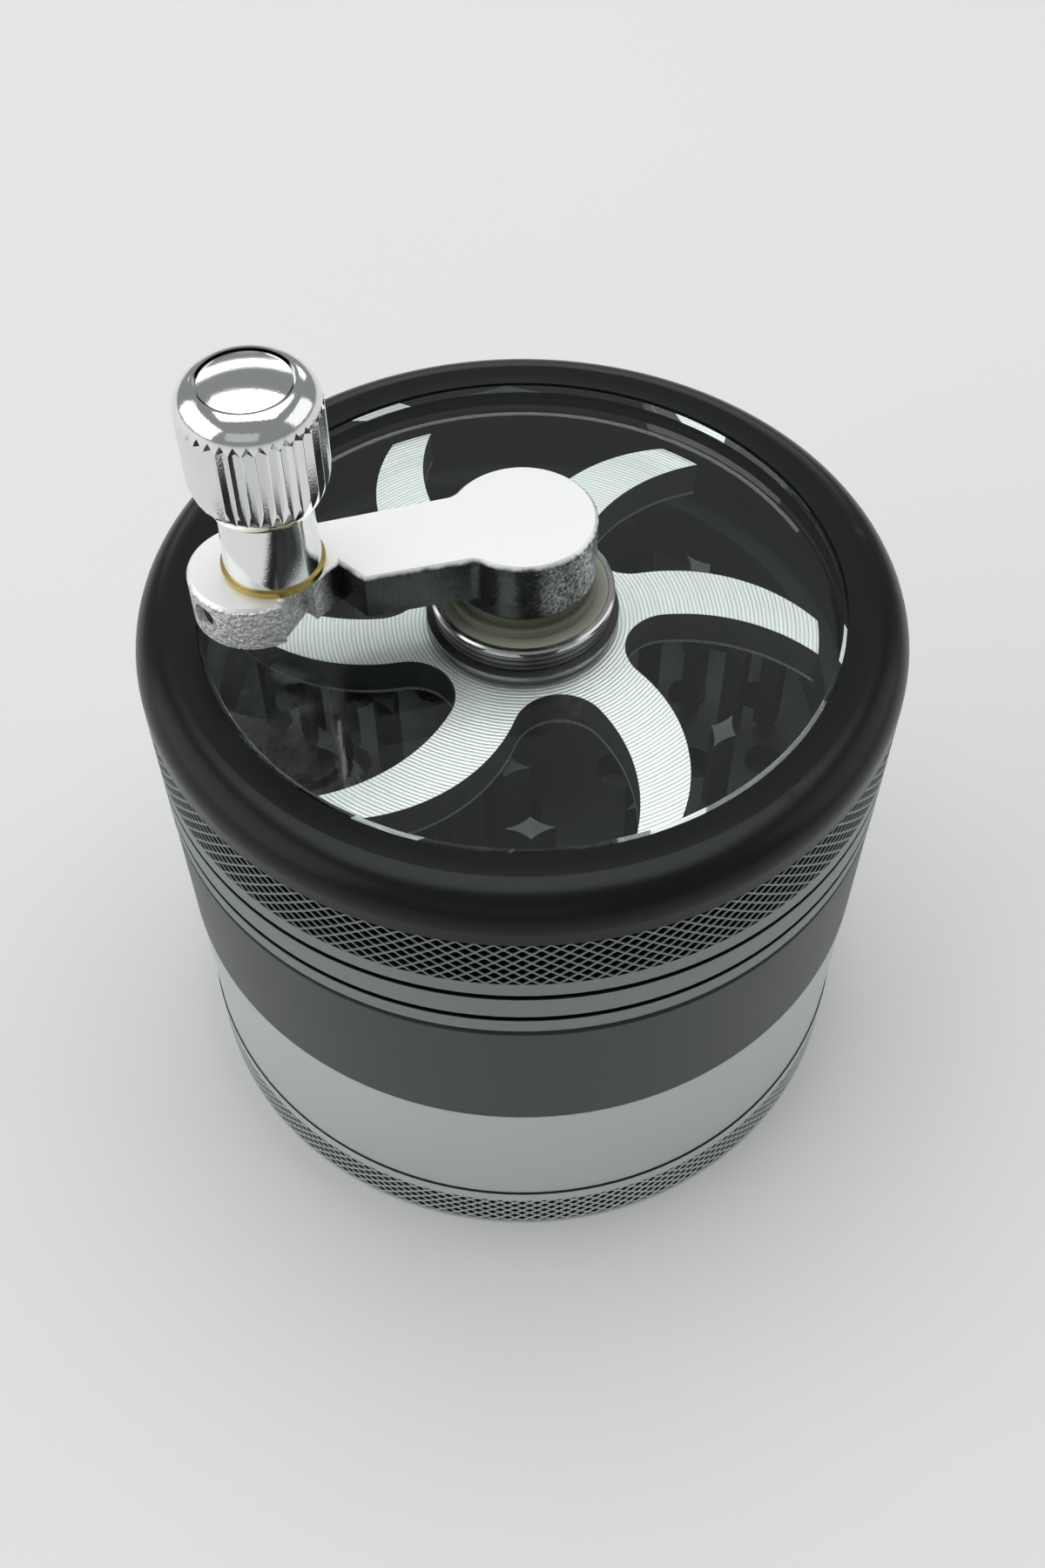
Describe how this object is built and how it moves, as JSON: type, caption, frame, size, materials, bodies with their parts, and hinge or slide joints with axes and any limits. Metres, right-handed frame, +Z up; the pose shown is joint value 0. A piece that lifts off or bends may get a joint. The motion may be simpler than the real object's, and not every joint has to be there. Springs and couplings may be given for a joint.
{
  "type": "hand crank herb grinder",
  "caption": "Round metal hand-crank herb grinder with screwed stacked sections, a clear window lid, a swirl-armed cutter and a crank with a turning knob.",
  "frame": {"origin": "centre of the underside of the base", "axes": "+Z up along the crank's turning axis, -Y towards the front, +X to the right"},
  "size_m": [0.063, 0.063, 0.0776],
  "materials": {
    "satin_silver": "fine satin anodised, light silver",
    "gunmetal": "satin dark grey anodised",
    "lid_black": "glossy black with bare skimmed bands",
    "clear_window": "clear polished plastic sheet",
    "machined_alloy": "bright turned face",
    "polished_metal": "polished plating",
    "cast_chrome": "plated casting with a rough skin",
    "nylon": "milky natural nylon",
    "brass": "turned brass",
    "steel": "plain bright steel"
  },
  "bodies": {
    "base": {"base_cup": "satin_silver"},
    "collector": {"collecting_chamber": "satin_silver", "screen_mesh": "steel", "screen_clip_ring": "steel"},
    "chamber": {"grinding_chamber": "gunmetal", "grinding_floor": "gunmetal", "fixed_teeth": "gunmetal"},
    "lid": {"lid_ring": "lid_black", "window": "clear_window", "window_ring": "lid_black", "clamp_collar": "polished_metal", "clamp_nut": "polished_metal", "nylon_bush": "nylon"},
    "crank": {"crank_arm": "cast_chrome", "drive_spindle": "steel", "cutter": "machined_alloy", "cutter_teeth": "machined_alloy", "cutter_washer": "steel", "spindle_screw": "steel", "grub_screw": "steel", "stem_washer": "brass", "knob_stem": "polished_metal", "knob_pin": "polished_metal"},
    "knob": {"knob": "polished_metal"}
  },
  "joints": [
    {"name": "collector_lift", "type": "slide", "parent": "base", "child": "collector", "axis": [0, 0, 1], "range_m": [0, 0.02]},
    {"name": "chamber_lift", "type": "slide", "parent": "collector", "child": "chamber", "axis": [0, 0, 1], "range_m": [0, 0.025]},
    {"name": "lid_lift", "type": "slide", "parent": "chamber", "child": "lid", "axis": [0, 0, 1], "range_m": [0, 0.035]},
    {"name": "crank_turn", "type": "hinge", "parent": "lid", "child": "crank", "pos_m": [0, 0, 0.054], "axis": [0, 0, 1], "continuous": true},
    {"name": "knob_spin", "type": "hinge", "parent": "crank", "child": "knob", "pos_m": [-0.01874, -0.00502, 0.072], "axis": [0, 0, 1], "continuous": true}
  ]
}
